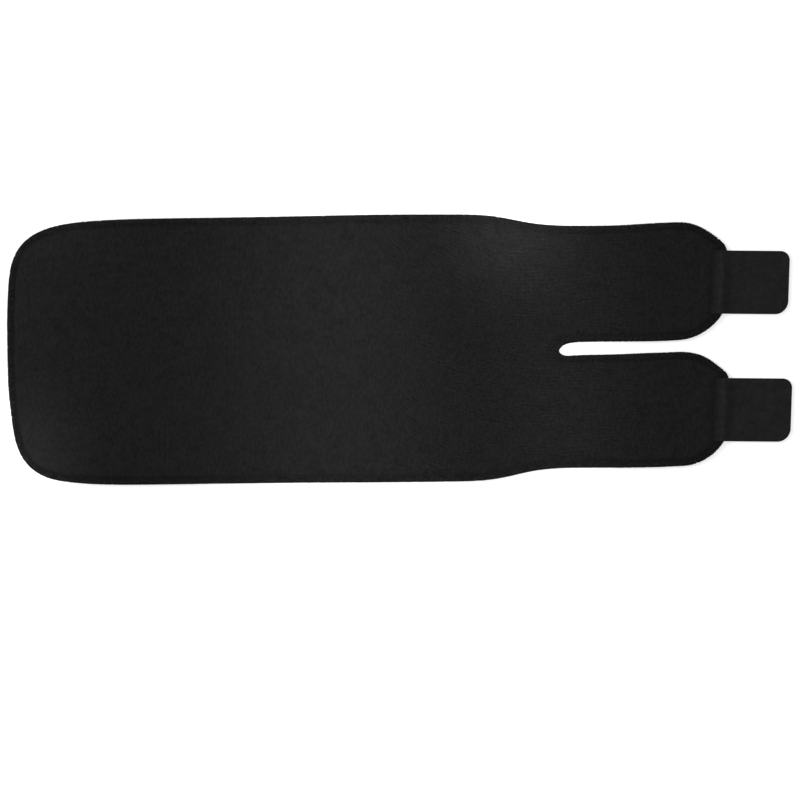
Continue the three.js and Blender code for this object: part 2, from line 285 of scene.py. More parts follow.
def laid(points):
    """Moves points of the cut pattern to where the panel was put down by hand, a millimetre or two
    askew. Each factor is how far a part of it was moved, and bump_at and ramp say which part."""
    x, y = points[:, 0], points[:, 1]
    neck_up = 0.42 * bump_at(x, 112, 40)
    sway = 0.5 * bump_at(x, -30, 100) - 0.4 * ramp(x, -150, -120) + neck_up
    tails_up = 1.6 * ramp(x, 165, 70) * ramp(x, 283, -40)
    slot_down = 1.9 * bump_at(x, 122, 14) + 0.5 * bump_at(x, 210, 18) + 1.1 * ramp(x, 252, -26)
    slot_down += neck_up
    slot_shut = (0.25 + 0.45 * bump_at(x, 128, 12) + 0.3 * bump_at(x, 200, 20)) * ramp(x, 232, -12)
    at_slot = ramp(x, 95, 30) * bump_at(y, 0, 24)
    body_stretch = 0.0063 * bump_at(x, -5, 70)
    neck_stretch = 0.008 * bump_at(x, 110, 30)
    tail_stretch = 0.005 * bump_at(x, 205, 28)
    stretch = -0.0012 + body_stretch + neck_stretch + tail_stretch
    end_in = 0.5 + 0.65 * ramp(np.abs(y), 22, 30) + 2.1 * bump_at(y, -68, 34)
    tip_in = 0.9 * bump_at(x, 126, 9) * bump_at(y, 0, 9)
    tail_corners_out = 3.2 * bump_at(y, 77.5, 8) + 3.4 * bump_at(y, -24, 6.5)
    moved = points.copy()
    moved[:, 0] += end_in * ramp(x, -256, -46) + tip_in
    moved[:, 0] += ramp(x, 236, 16) * tail_corners_out
    moved[:, 0] -= TUCKED * ramp(x, 246, 12) * ramp(off_tail_middle(y), 24, -12)
    moved[:, 1] -= 0.8 * bump_at(x, -282, 18) * ramp(y, -60, -30)
    moved[:, 1] += sway + tails_up + y * stretch - at_slot * (slot_down + slot_shut * np.tanh(y / 2.5))
    return moved


def placed(points, side):
    """Moves points of a tab to where it lies, turned a little and cut a little askew."""
    middle = side * TAIL_MIDDLE_Y
    along = points[:, 0] - BEND_X
    across = points[:, 1] - middle
    share = np.clip(along / (flap_high[0] - BEND_X), 0, 1)
    at_sewn, at_free, aside = TAB_SHIFT[side]
    moved = points.copy()
    moved[:, 0] += (math.sin(TAB_TURN) + TAPE_SLANT) * across + at_sewn + (at_free - at_sewn) * share
    moved[:, 1] += aside - math.sin(TAB_TURN) * along
    return moved


# ---------------------------------------- mesh making


def put(name, data):
    """Puts an object with this data into the scene."""
    made = bpy.data.objects.new(name, data)
    bpy.context.scene.collection.objects.link(made)
    return made


def piece(name, vertices, faces, material, uv=None):
    """Piece of the panel, from vertices in the cut pattern's place, moved to where the panel lies."""
    return mesh_object(name, laid(vertices), faces, material, uv)


def mesh_object(name, vertices, faces, material, uv=None):
    """Smooth-shaded object from vertices in millimetres, with uv for every corner of every face."""
    mesh = bpy.data.meshes.new(name)
    mesh.from_pydata((np.asarray(vertices) * MM).tolist(), [], [list(map(int, f)) for f in faces])
    mesh.polygons.foreach_set("use_smooth", np.ones(len(mesh.polygons), bool))
    mesh.materials.append(material)
    if uv is not None:
        layer = mesh.uv_layers.new(name="cloth")
        layer.data.foreach_set("uv", np.asarray(uv, np.float32).ravel())
    return put(name, mesh)


def strip(first, second, count):
    """Quads between two closed rings of vertices that start at these indices."""
    i = np.arange(count)
    j = (i + 1) % count
    return np.stack([first + i, first + j, second + j, second + i], 1)


def tube(path, up, half_width, half_height, sides, closed):
    """Vertices, faces and corner uv of a thread along a path, with a flattened round section. up points
    out of the surface that it lies on. u is the length along the thread and v the turn round it."""
    if closed:
        along = np.roll(path, -1, 0) - np.roll(path, 1, 0)
    else:
        along = np.gradient(path, axis=0)
    along /= np.linalg.norm(along, axis=1)[:, None]
    side = np.cross(along, up)
    side /= np.linalg.norm(side, axis=1)[:, None]
    out = np.cross(side, along)
    angle = np.arange(sides) * 2 * math.pi / sides
    half_width, half_height = (np.broadcast_to(v, len(path))[:, None] for v in (half_width, half_height))
    rings = (
        path[:, None]
        + side[:, None] * (half_width * np.cos(angle))[:, :, None]
        + out[:, None] * (half_height * np.sin(angle))[:, :, None]
    )
    count = len(path)
    spans = count if closed else count - 1
    faces = list(np.vstack([strip(k * sides, (k + 1) % count * sides, sides) for k in range(spans)]))
    steps = np.linalg.norm(np.roll(path, -1, 0) - path, axis=1)[:spans]
    run = run_along(steps)
    turn = np.arange(sides + 1) / sides
    corners = np.empty((spans, sides, 4, 2))
    corners[..., :2, 0] = run[:-1, None, None]
    corners[..., 2:, 0] = run[1:, None, None]
    corners[..., (0, 3), 1] = turn[:-1, None]
    corners[..., (1, 2), 1] = turn[1:, None]
    uv = corners.reshape(-1, 2)
    if not closed:
        faces += [np.arange(sides)[::-1], np.arange(sides) + (count - 1) * sides]
        uv = np.vstack([uv, np.zeros((2 * sides, 2))])
    return rings.reshape(-1, 3), faces, uv


def joined(parts):
    """Vertices, faces and uv of several meshes as one."""
    vertices, faces, uvs, offset = [], [], [], 0
    for points, polygons, uv in parts:
        vertices.append(points)
        faces.extend(np.asarray(f) + offset for f in polygons)
        uvs.append(uv)
        offset += len(points)
    return np.vstack(vertices), faces, np.vstack(uvs)


# ---------------------------------------- materials


def colour(code):
    """Linear RGBA of an sRGB hex colour."""
    channels = [int(code[i : i + 2], 16) / 255 for i in (1, 3, 5)]
    return [c / 12.92 if c <= 0.04045 else ((c + 0.055) / 1.055) ** 2.4 for c in channels] + [1]


def add(tree, kind, inputs=(), **settings):
    """Adds a node with its settings. An input takes a value, a socket, or a node's first output."""
    made = tree.nodes.new(kind)
    for name, value in settings.items():
        setattr(made, name, value)
    for name, value in dict(inputs).items():
        if isinstance(value, bpy.types.Node):
            value = value.outputs[0]
        if isinstance(value, bpy.types.NodeSocket):
            tree.links.new(value, made.inputs[name])
        else:
            made.inputs[name].default_value = value
    return made


def new_material(name, **finish):
    """Material, its node tree, and its shader with the given finish."""
    material = bpy.data.materials.new(name)
    material.use_nodes = True
    tree = material.node_tree
    shader = tree.nodes["Principled BSDF"]
    for socket, value in finish.items():
        shader.inputs[socket.replace("_", " ")].default_value = value
    return material, tree, shader


def coat(tree, shader, tone, dark, light, relief, depth):
    """Gives the shader a colour between two sRGB tones, and a relief of that depth in millimetres."""
    tones = {"Factor": tone, "A": colour(dark), "B": colour(light)}
    mix = add(tree, "ShaderNodeMix", tones, data_type="RGBA")
    tree.links.new(mix.outputs["Result"], shader.inputs["Base Color"])
    bump = add(tree, "ShaderNodeBump", {"Height": relief, "Distance": depth * MM})
    tree.links.new(bump.outputs[0], shader.inputs["Normal"])


def cells(size):
    """Scale of a noise or cell texture, over the piece's own coordinates, for grains of a size in mm."""
    return 1 / (size * MM)


WAVE_SPAN = math.pi / 10  # a wave texture of scale 1 repeats at this distance


def broken_courses(tree, own):
    """Ribs of the loop cloth's knitted courses, and how strongly they show at each place."""
    # The courses run along the tails and bend away towards the body, where the cloth was stretched askew.
    # They show in short broken strokes, fully from the body's middle to the neck, weaker on the tails and
    # not at all towards the rounded end.
    place_in = add(tree, "ShaderNodeSeparateXYZ", {"Vector": own})
    along, across = place_in.outputs["X"], place_in.outputs["Y"]
    short_of_tail = add(
        tree, "ShaderNodeMapRange",
        {"Value": along, "From Min": -310 * MM, "From Max": 150 * MM, "To Min": -460 * MM, "To Max": 0},
    )
    squared = add(tree, "ShaderNodeMath", {0: short_of_tail, 1: short_of_tail}, operation="MULTIPLY")
    cubed = add(tree, "ShaderNodeMath", {0: squared, 1: short_of_tail}, operation="MULTIPLY")
    skewed = add(tree, "ShaderNodeMath", {0: cubed, 1: 12.2, 2: across}, operation="MULTIPLY_ADD")
    grain = add(tree, "ShaderNodeCombineXYZ", {"X": along, "Y": skewed})
    drift = add(tree, "ShaderNodeTexNoise", {"Vector": own, "Scale": cells(90), "Detail": 3})
    swayed = add(
        tree, "ShaderNodeVectorMath",
        {0: drift.outputs["Color"], 1: (0.02, 0.03, 0), 2: grain}, operation="MULTIPLY_ADD",
    )
    courses = add(
        tree, "ShaderNodeTexWave",
        {"Vector": swayed, "Scale": WAVE_SPAN / (2.8 * MM),
         "Distortion": 5, "Detail": 3, "Detail Scale": 1.5},
        bands_direction="Y",
    )
    ribs = add(tree, "ShaderNodeMath", {0: courses.outputs["Fac"], 1: 0.5}, operation="SUBTRACT")
    patches = add(
        tree, "ShaderNodeTexNoise", {"Vector": own, "Scale": cells(7), "Detail": 5, "Roughness": 0.75}
    )
    strokes = add(
        tree, "ShaderNodeMapRange", {"Value": patches, "From Min": 0.46, "From Max": 0.6, "To Max": 0.44}
    )
    stretched = add(
        tree, "ShaderNodeMapRange", {"Value": along, "From Min": -110 * MM, "From Max": -10 * MM}
    )
    relaxed = add(
        tree, "ShaderNodeMapRange",
        {"Value": along, "From Min": 130 * MM, "From Max": 220 * MM, "To Min": 1, "To Max": 0.4},
    )
    shown = add(tree, "ShaderNodeMath", {0: strokes, 1: stretched}, operation="MULTIPLY")
    shown = add(tree, "ShaderNodeMath", {0: shown, 1: relaxed}, operation="MULTIPLY")
    return ribs, shown


def brushed_loop_pile():
    # Nylon loop cloth, knitted and brushed so that hooks catch in it. Its loops swallow most of the light
    # and leave a soft bloom, mottled where the nap lies in another direction. The nap was brushed across
    # the wrap. The loops are 0.3 mm and the courses under them 0.8 mm on the real cloth; they are drawn as
    # tangles of 1.3 mm and courses of 2.8 mm so that they show.
    material, tree, shader = new_material("brushed_nylon_loop_pile", Roughness=0.5, Specular_IOR_Level=0.035)
    own = add(tree, "ShaderNodeTexCoord").outputs["Object"]
    ribs, shown = broken_courses(tree, own)
    tangle = add(
        tree, "ShaderNodeTexNoise",
        {"Vector": own, "Scale": cells(1.3), "Detail": 3, "Roughness": 0.55, "Distortion": 2.6},
    )
    loops = add(tree, "ShaderNodeMapRange", {"Value": tangle, "From Min": 0.36, "From Max": 0.64})
    brushed = add(tree, "ShaderNodeMapping", {"Vector": own, "Scale": (1.2, 0.66, 1)})
    nap = add(
        tree, "ShaderNodeTexNoise", {"Vector": brushed, "Scale": cells(2.6), "Detail": 4, "Roughness": 0.52}
    )
    mottle = add(
        tree, "ShaderNodeTexNoise", {"Vector": own, "Scale": cells(9), "Detail": 3, "Roughness": 0.6}
    )
    tone = add(tree, "ShaderNodeMath", {0: ribs, 1: shown, 2: -0.4}, operation="MULTIPLY_ADD")
    for part, weight in ((nap, 0.95), (mottle, 0.42), (loops, 0.32)):
        tone = add(tree, "ShaderNodeMath", {0: part, 1: weight, 2: tone}, operation="MULTIPLY_ADD")
    relief = add(tree, "ShaderNodeMath", {0: ribs, 1: shown, 2: loops}, operation="MULTIPLY_ADD")
    relief = add(tree, "ShaderNodeMath", {0: nap, 1: 1.2, 2: relief}, operation="MULTIPLY_ADD")
    coat(tree, shader, tone, "#101010", "#2a2a2a", relief, 0.13)
    return material


def nylon_jersey():
    # Smooth knitted nylon, the side towards the skin: rows of small chevrons, with a low sheen. The wales
    # are 0.5 mm on the real cloth and are drawn 0.9 mm.
    half_wale = 0.45 * MM
    material, tree, shader = new_material(
        "nylon_jersey", Roughness=0.55, Specular_IOR_Level=0.12, Sheen_Weight=0.03
    )
    place = add(tree, "ShaderNodeTexCoord")
    own = add(tree, "ShaderNodeSeparateXYZ", {"Vector": place.outputs["Object"]})
    wale = add(tree, "ShaderNodeMath", {0: own.outputs["Y"], 1: half_wale}, operation="PINGPONG")
    slant = add(tree, "ShaderNodeMath", {0: wale, 1: 0.9, 2: own.outputs["X"]}, operation="MULTIPLY_ADD")
    stitch = add(tree, "ShaderNodeMath", {0: slant, 1: 2 * math.pi / (0.75 * MM)}, operation="MULTIPLY")
    stitch = add(tree, "ShaderNodeMath", {0: stitch}, operation="SINE")
    gutter = add(tree, "ShaderNodeMath", {0: wale, 1: 2 / half_wale, 2: stitch}, operation="MULTIPLY_ADD")
    wear = add(
        tree, "ShaderNodeTexNoise", {"Vector": place.outputs["Object"], "Scale": cells(9), "Detail": 5}
    )
    tone = add(tree, "ShaderNodeMath", {0: gutter, 1: 0.16, 2: wear}, operation="MULTIPLY_ADD")
    coat(tree, shader, tone, "#0c0c0d", "#1f1f21", gutter, 0.05)
    return material


def neoprene_sponge():
    # Closed-cell foam as cut: dull, with the cells open at the cut like fine pores of 0.3 mm.
    material, tree, shader = new_material("neoprene_sponge", Roughness=0.85, Specular_IOR_Level=0.15)
    place = add(tree, "ShaderNodeTexCoord")
    pores = add(tree, "ShaderNodeTexVoronoi", {"Vector": place.outputs["Object"], "Scale": cells(0.3)})
    coat(tree, shader, pores, "#0b0b0b", "#1e1e1f", pores, 0.1)
    return material


def textured_thread():
    # Crimped polyester: loose filaments that lie side by side and spread flat, so it looks soft and
    # covers the edge. Streaks of filaments run along it. It is painted lighter on its top than on its
    # sides and underside, a painted highlight for the light from above, and painted darker towards the
    # rounded end, painted shade.
    material, tree, shader = new_material(
        "textured_polyester_thread", Roughness=0.7, Specular_IOR_Level=0.06, Sheen_Weight=0.02
    )
    place = add(tree, "ShaderNodeTexCoord")
    along = add(tree, "ShaderNodeMapping", {"Vector": place.outputs["UV"], "Scale": (0.7, 9, 1)})
    strands = add(
        tree, "ShaderNodeTexNoise", {"Vector": along, "Scale": 1.6, "Detail": 3, "Distortion": 0.4}
    )
    lie = add(
        tree, "ShaderNodeTexNoise", {"Vector": place.outputs["Object"], "Scale": cells(2), "Detail": 3}
    )
    own = add(tree, "ShaderNodeSeparateXYZ", {"Vector": place.outputs["Object"]})
    # Painted highlight: the higher the thread lies, the lighter it is, so its top is lighter than its sides
    # and the lower looper is darker
    painted_top_highlight = add(
        tree, "ShaderNodeMapRange",
        {"Value": own.outputs["Z"], "From Min": 2.2 * MM, "From Max": 4.2 * MM,
         "To Min": -1.8, "To Max": -1},
    )
    # Painted shade: the thread is darker towards the rounded end, from X -200 mm to -310 mm
    painted_end_shade = add(
        tree, "ShaderNodeMapRange",
        {"Value": own.outputs["X"], "From Min": -310 * MM, "From Max": -200 * MM,
         "To Min": -0.2, "To Max": 0},
    )
    # Sum of the painted highlight on top and the painted shade at the rounded end
    painted_light_and_shade = add(tree, "ShaderNodeMath", {0: painted_top_highlight, 1: painted_end_shade})
    tone = add(tree, "ShaderNodeMath", {0: lie, 1: 1.9, 2: strands}, operation="MULTIPLY_ADD")
    tone = add(tree, "ShaderNodeMath", {0: tone, 1: painted_light_and_shade})
    coat(tree, shader, tone, "#0b0b0b", "#2a2a2a", strands, 0.12)
    return material


def sewing_thread():
    # Three plies twisted hard: rounder and shinier than the edge's thread, with the twist in plain sight.
    material, tree, shader = new_material("three_ply_polyester_thread", Roughness=0.6, Specular_IOR_Level=0.1)
    place = add(tree, "ShaderNodeTexCoord")
    own = add(tree, "ShaderNodeSeparateXYZ", {"Vector": place.outputs["UV"]})
    around = add(tree, "ShaderNodeMath", {0: own.outputs["Y"], 1: 3}, operation="MULTIPLY")
    twist = add(tree, "ShaderNodeMath", {0: own.outputs["X"], 1: 1.4, 2: around}, operation="MULTIPLY_ADD")
    ply = add(tree, "ShaderNodeMath", {0: twist, 1: 0.5}, operation="PINGPONG")
    tone = add(tree, "ShaderNodeMath", {0: ply, 1: 2}, operation="MULTIPLY")
    coat(tree, shader, tone, "#0a0a0a", "#202020", tone, 0.08)
    return material


def woven_hook_tape():
    # Plain-woven nylon: a fine grid of threads, with a regular field of small dashes where the hooks'
    # monofilament is woven in, and a tighter selvedge along each side. Its hot-cut end, pressed under the
    # stitches, is painted darker, painted shade in the groove of the stitch row. The threads are 0.3 mm
    # apart on the real tape and are drawn 0.6 mm. The dashes are 1.4 mm apart, about as the hooks are.
    material, tree, shader = new_material(
        "woven_nylon_tape", Roughness=0.6, Specular_IOR_Level=0.1, Sheen_Weight=0.02
    )
    place = add(tree, "ShaderNodeTexCoord")
    own = add(tree, "ShaderNodeSeparateXYZ", {"Vector": place.outputs["UV"]})
    waves = []
    for axis in ("X", "Y"):
        wave = add(tree, "ShaderNodeMath", {0: own.outputs[axis], 1: math.pi / 0.6}, operation="MULTIPLY")
        waves.append(add(tree, "ShaderNodeMath", {0: wave}, operation="SINE"))
    weave = add(tree, "ShaderNodeMath", {0: waves[0], 1: waves[1]}, operation="MULTIPLY")
    dashes = add(
        tree, "ShaderNodeTexBrick",
        {"Vector": place.outputs["UV"], "Scale": 1, "Brick Width": 1.4, "Row Height": 0.75,
         "Mortar Size": 0.27, "Mortar Smooth": 0.6},
    ).outputs["Fac"]
    from_middle = add(tree, "ShaderNodeMath", {0: own.outputs["Y"]}, operation="ABSOLUTE")
    selvedge = add(
        tree, "ShaderNodeMapRange",
        {"Value": from_middle, "From Min": TAPE_HALF_WIDTH - 2.4, "From Max": TAPE_HALF_WIDTH - 1.8},
    )
    field = add(tree, "ShaderNodeMath", {0: dashes, 1: selvedge}, operation="MAXIMUM")
    wear = add(
        tree, "ShaderNodeTexNoise",
        {"Vector": place.outputs["Object"], "Scale": cells(5), "Detail": 5, "Roughness": 0.7},
    )
    wear = add(tree, "ShaderNodeMath", {0: wear, 1: 1.7, 2: -0.35}, operation="MULTIPLY_ADD")
    # Painted shade: the first 1.8 mm of the tape from its sewn cut end are darker, as the stitch groove's
    # shade
    painted_groove_shade = add(
        tree, "ShaderNodeMapRange",
        {"Value": own.outputs["X"], "From Max": 1.8, "To Min": -0.3, "To Max": 0},
    )
    relief = add(tree, "ShaderNodeMath", {0: field, 1: -1.2, 2: weave}, operation="MULTIPLY_ADD")
    tone = add(tree, "ShaderNodeMath", {0: relief, 1: 0.14, 2: wear}, operation="MULTIPLY_ADD")
    tone = add(tree, "ShaderNodeMath", {0: tone, 1: painted_groove_shade})
    coat(tree, shader, tone, "#0d0d0d", "#252525", relief, 0.06)
    return material


def nylon_monofilament():
    # Drawn nylon, dyed black: smooth and hard, with a bright line of gloss along each hook.
    material, tree, shader = new_material("nylon_monofilament", IOR=1.53, Roughness=0.32)
    place = add(tree, "ShaderNodeTexCoord")
    dye = add(
        tree, "ShaderNodeTexNoise", {"Vector": place.outputs["Object"], "Scale": cells(0.5), "Detail": 2}
    )
    coat(tree, shader, dye, "#0e0e0e", "#1c1c1c", dye, 0.01)
    return material


loop_pile = brushed_loop_pile()
jersey = nylon_jersey()
neoprene = neoprene_sponge()
overlock_thread = textured_thread()
lockstitch_thread = sewing_thread()
hook_tape = woven_hook_tape()
hook_nylon = nylon_monofilament()


# ---------------------------------------- laminate

# Depths of the rings of vertices inside the outline, and the spacing of the grid inside the last ring
SHOWN_RINGS = (CUT_EDGE, 2, 3.4, 4.5, NEEDLE_LINE, 5.9, 6.8, 7.9, 9.3, 11.2)
HIDDEN_RINGS = (CUT_EDGE, NEEDLE_LINE, 7.9, 11.2)
SHOWN_GRID = 3.6
HIDDEN_GRID = 8
TRIANGLE_HEIGHT = 0.866  # of a triangle with sides of 1
CLEAR_OF_RING = 0.55  # share of its spacing that the grid keeps from the last ring


def fill(ring, spacing):
    """Points and triangles over the inside of a closed ring, points in a staggered grid."""
    rows = []
    for k, y in enumerate(np.arange(-HALF_WIDTH, HALF_WIDTH, spacing * TRIANGLE_HEIGHT)):
        xs = np.arange(END_X + (k % 2) * spacing / 2, TAIL_END_X, spacing)
        rows.append(np.column_stack([xs, np.full_like(xs, y)]))
    grid = np.vstack(rows)
    grid = grid[depth_of(grid) > SHOWN_RINGS[-1] + spacing * CLEAR_OF_RING]
    points = np.vstack([ring, grid])
    found, _, triangles, *_ = delaunay_2d_cdt(
        [Vector(p) for p in points], [], [list(range(len(ring)))], 1, 1e-6
    )
    return np.array([tuple(p) for p in found]), np.array(triangles)


def surface(ring_depths, spacing, level, upward):
    """Vertices and faces of one side of a layer, its outermost ring first."""
    count = len(outline)
    rings = [outline + inward * depth for depth in ring_depths]
    inner, triangles = fill(rings[-1], spacing)
    plan = np.vstack(rings[:-1] + [inner])
    depths = np.concatenate([
        np.repeat(ring_depths[:-1], count),
        np.full(count, ring_depths[-1]),
        depth_of(inner[count:]),
    ])
    heights = level_height(plan[:, 0], plan[:, 1], depths, level)
    bands = range(len(rings) - 1)
    faces = list(np.vstack([strip(k * count, (k + 1) * count, count) for k in bands]))
    faces += list(triangles + len(bands) * count)
    if not upward:
        faces = [f[::-1] for f in faces]
    return np.column_stack([plan, heights]), faces


def layer(name, bottom, top, bottom_shown, top_shown, material):
    """Closed cloth or foam layer between two levels of the laminate."""
    shown = (SHOWN_RINGS, SHOWN_GRID)
    hidden = (HIDDEN_RINGS, HIDDEN_GRID)
    over, over_faces = surface(*(shown if top_shown else hidden), top, True)
    under, under_faces = surface(*(shown if bottom_shown else hidden), bottom, False)
    start = len(over)
    wall = strip(0, start, len(outline))[:, ::-1]
    faces = over_faces + [f + start for f in under_faces] + list(wall)
    return piece(name, np.vstack([over, under]), faces, material)


lining = layer("jersey_lining", lining_low[2], lining_high[2], True, False, jersey)
foam = layer("foam_sheet", foam_low[2], foam_high[2], False, False, neoprene)
face = layer("loop_cloth_face", face_low[2], face_high[2], False, True, loop_pile)


# ---------------------------------------- overlocked edge

# Places along one looper thread between two needle holes: share of the stitch, and share of the
# way from the thread's inner bend at the needle row to its outer bend at the cut edge
LEG = ((0, 0), (0.08, 0.1), (0.18, 0.4), (0.27, 0.68), (0.34, 0.87), (0.41, 0.97), (0.5, 1))
LOOPER_INNER = 5.8  # the inner bend, just past the needle row
LOOPER_BITE = 1.2  # depth to which the needle thread pulls a looper in, as a share of the cloth's
BEND_NARROWING = 0.42  # share of its width that a looper loses where it bends
HAND = 0.09  # unevenness of the stitches, as a share of each

needle_row = outline + inward * NEEDLE_LINE
row_steps = np.hypot(*(np.roll(needle_row, -1, 0) - needle_row).T)
row_run = run_along(row_steps)
stitch_count = round(row_run[-1] / STITCH_PITCH)


def on_edge(stitch):
    """Outline points and inward directions at places counted in stitches along the needle row."""
    where = np.mod(stitch, stitch_count) * row_run[-1] / stitch_count
    into = on_ring(inward, row_run, where)
    return on_ring(outline, row_run, where), into / np.hypot(*into.T)[:, None]


def wrapped(stitch, reach, above):
    """Path and outward direction of a looper thread. reach is 0 at its inner bend and 1 at its outer."""
    middle = (seam_low[2] + seam_high[2]) / 2
    half = (seam_high[2] - seam_low[2]) / 2 - LOOPER_HALF_HEIGHT
    nose = SEAM_NOSE - LOOPER_HALF_HEIGHT
    flat_length = LOOPER_INNER - SEAM_NOSE
    round_length = math.pi / 2 * (half + nose) / 2
    run = reach * (flat_length + round_length)
    angle = math.pi / 2 * (1 - np.clip((run - flat_length) / round_length, 0, 1))
    depth = np.where(run < flat_length, LOOPER_INNER - run, SEAM_NOSE - nose * np.cos(angle))
    sunk = LOOPER_BITE * needle_bite(depth)
    point, into = on_edge(stitch)
    plan = point + into * depth[:, None]
    z = middle + above * (half * np.sin(angle) - sunk) + rise(*plan.T)
    tilt = np.where(run < flat_length, math.pi / 2, angle)
    out = np.column_stack([-into * np.cos(tilt)[:, None], above * np.sin(tilt)])
    return np.column_stack([plan, z]), out


def looper(name, above, start):
    """Looper thread that zigzags between the needle row and the edge, all round the wrap."""
    back = LEG[-2:0:-1]
    share = np.array([p[0] for p in LEG] + [1 - p[0] for p in back])
    reach = np.array([p[1] for p in LEG + back])
    shift = rng.normal(0, HAND, (2, stitch_count, 1))
    pull = 1 - np.abs(rng.normal(0, HAND / 2, (stitch_count, 1)))
    stitch = np.arange(stitch_count)[:, None] + share + start
    stitch = stitch + shift[0] * (1 - reach) * (share < 0.5) + shift[1] * reach
    tight = 1 - BEND_NARROWING * np.abs(2 * reach - 1) ** 3
    path, out = wrapped(stitch.ravel(), (reach * pull).ravel(), above)
    width = np.tile(LOOPER_HALF_WIDTH * tight, stitch_count)
    vertices, faces, uv = tube(path, out, width, LOOPER_HALF_HEIGHT, sides=8, closed=True)
    return piece(name, vertices, faces, overlock_thread, uv)


# Places along the needle thread: share of the stitch, and height over the seam's own top
NEEDLE_SHARES = np.array([0, 0.16, 0.5, 0.84])
NEEDLE_HEIGHTS = np.array([-0.75, 0.02, 0.12, 0.02])


def needle_thread(name, above):
    """Needle thread's row of short stitches over the loopers' inner bends."""
    stitch = (np.arange(stitch_count)[:, None] + NEEDLE_SHARES[None]).ravel()
    point, into = on_edge(stitch)
    plan = point + into * NEEDLE_LINE
    surface_z = (seam_high if above > 0 else seam_low)[2]
    z = surface_z + above * (np.tile(NEEDLE_HEIGHTS, stitch_count) - NEEDLE_THREAD_RADIUS) + rise(*plan.T)
    path = np.column_stack([plan, z])
    out = np.column_stack([np.zeros_like(plan), np.full(len(plan), above)])
    radius = NEEDLE_THREAD_RADIUS
    vertices, faces, uv = tube(path, out, radius, radius, sides=5, closed=True)
    return piece(name, vertices, faces, overlock_thread, uv)


upper_looper = looper("overlock_upper_looper_thread", 1, 0)
lower_looper = looper("overlock_lower_looper_thread", -1, 0.5)
needle_above = needle_thread("overlock_needle_thread_over", 1)
needle_below = needle_thread("overlock_needle_thread_under", -1)


# ---------------------------------------- tabs

CURVE_POINTS = 40  # of each bend in the tape's side view
EDGE_ROWS = np.array([0, 0.06, 0.2, TAPE_EDGE])  # distances of the vertices that round a tape's edge off
EDGE_SHARE = 0.2  # share of the tape's thickness left at its very edge
CREST_BOW = 2.2  # by which the crest lies further back at the tape's sides
BOW_START = 4  # length past the bend in which the bow sets in
BOW_FADE = 22  # length in which it fades again, and that it leaves before the free end
SLOPE_STEP = 0.2  # over which the tape's slope is measured
GROOVE = 0.07  # depth of the groove beside the selvedge
GROOVE_PLACE = 1.5  # its distance from the tape's edge
GROOVE_HALF = 0.5
RIPPLES = (0.1, 0.08)  # heights of the two ripples in a tape over the lumpy seam


def tape_underside():
    """Side view of the tape's underside from its cut end to its free end."""
    half_rise = (CREST_X - BEND_X) / 2
    drop = FOOT_X - CREST_X
    up = [(BEND_X, SEAT), (BEND_X + half_rise, SEAT), (CREST_X - half_rise, CREST_Z), (CREST_X, CREST_Z)]
    down = [
        (CREST_X, CREST_Z),
        (CREST_X + drop * 0.12, CREST_Z),
        (FOOT_X - drop * 0.6, TAPE_FOOT),
        (FOOT_X, TAPE_FOOT),
    ]
    return np.vstack([
        [(sewn_low[0], SEAT)],
        bezier(up, CURVE_POINTS),
        bezier(down, CURVE_POINTS)[1:],
        [(flap_high[0], TAPE_FOOT)],
    ])


side_view = tape_underside()
tape_run = run_along(np.hypot(*np.diff(side_view, axis=0).T))
TAPE_LENGTH = tape_run[-1]
BEND_RUN = BEND_X - sewn_low[0]  # length of the tape from its cut end to its bend


def tape_rows():
    """Places along the tape of its rows of vertices, counted from its cut end."""
    # Start, end and step on the sewn part, the bend, the rise over the seam, the flat part, the free end
    spans = (
        (0.95, BEND_RUN - 1.4, 0.45),
        (BEND_RUN - 1.4, BEND_RUN + 2.2, 0.22),
        (BEND_RUN + 2.2, BEND_RUN + 20, 0.7),
        (BEND_RUN + 20, TAPE_LENGTH - 10, 1.4),
        (TAPE_LENGTH - 10, TAPE_LENGTH - TAPE_EDGE - 0.3, 0.7),
    )
    between = [np.arange(*span) for span in spans]
    return np.concatenate([EDGE_ROWS, [0.65], *between, TAPE_LENGTH - EDGE_ROWS[::-1]])


def half_width_at(distance, corner):
    """Half width of the tape at a distance from an end with corners of that radius."""
    if distance >= corner:
        return TAPE_HALF_WIDTH
    return TAPE_HALF_WIDTH - corner + math.sqrt(corner**2 - (corner - distance) ** 2)


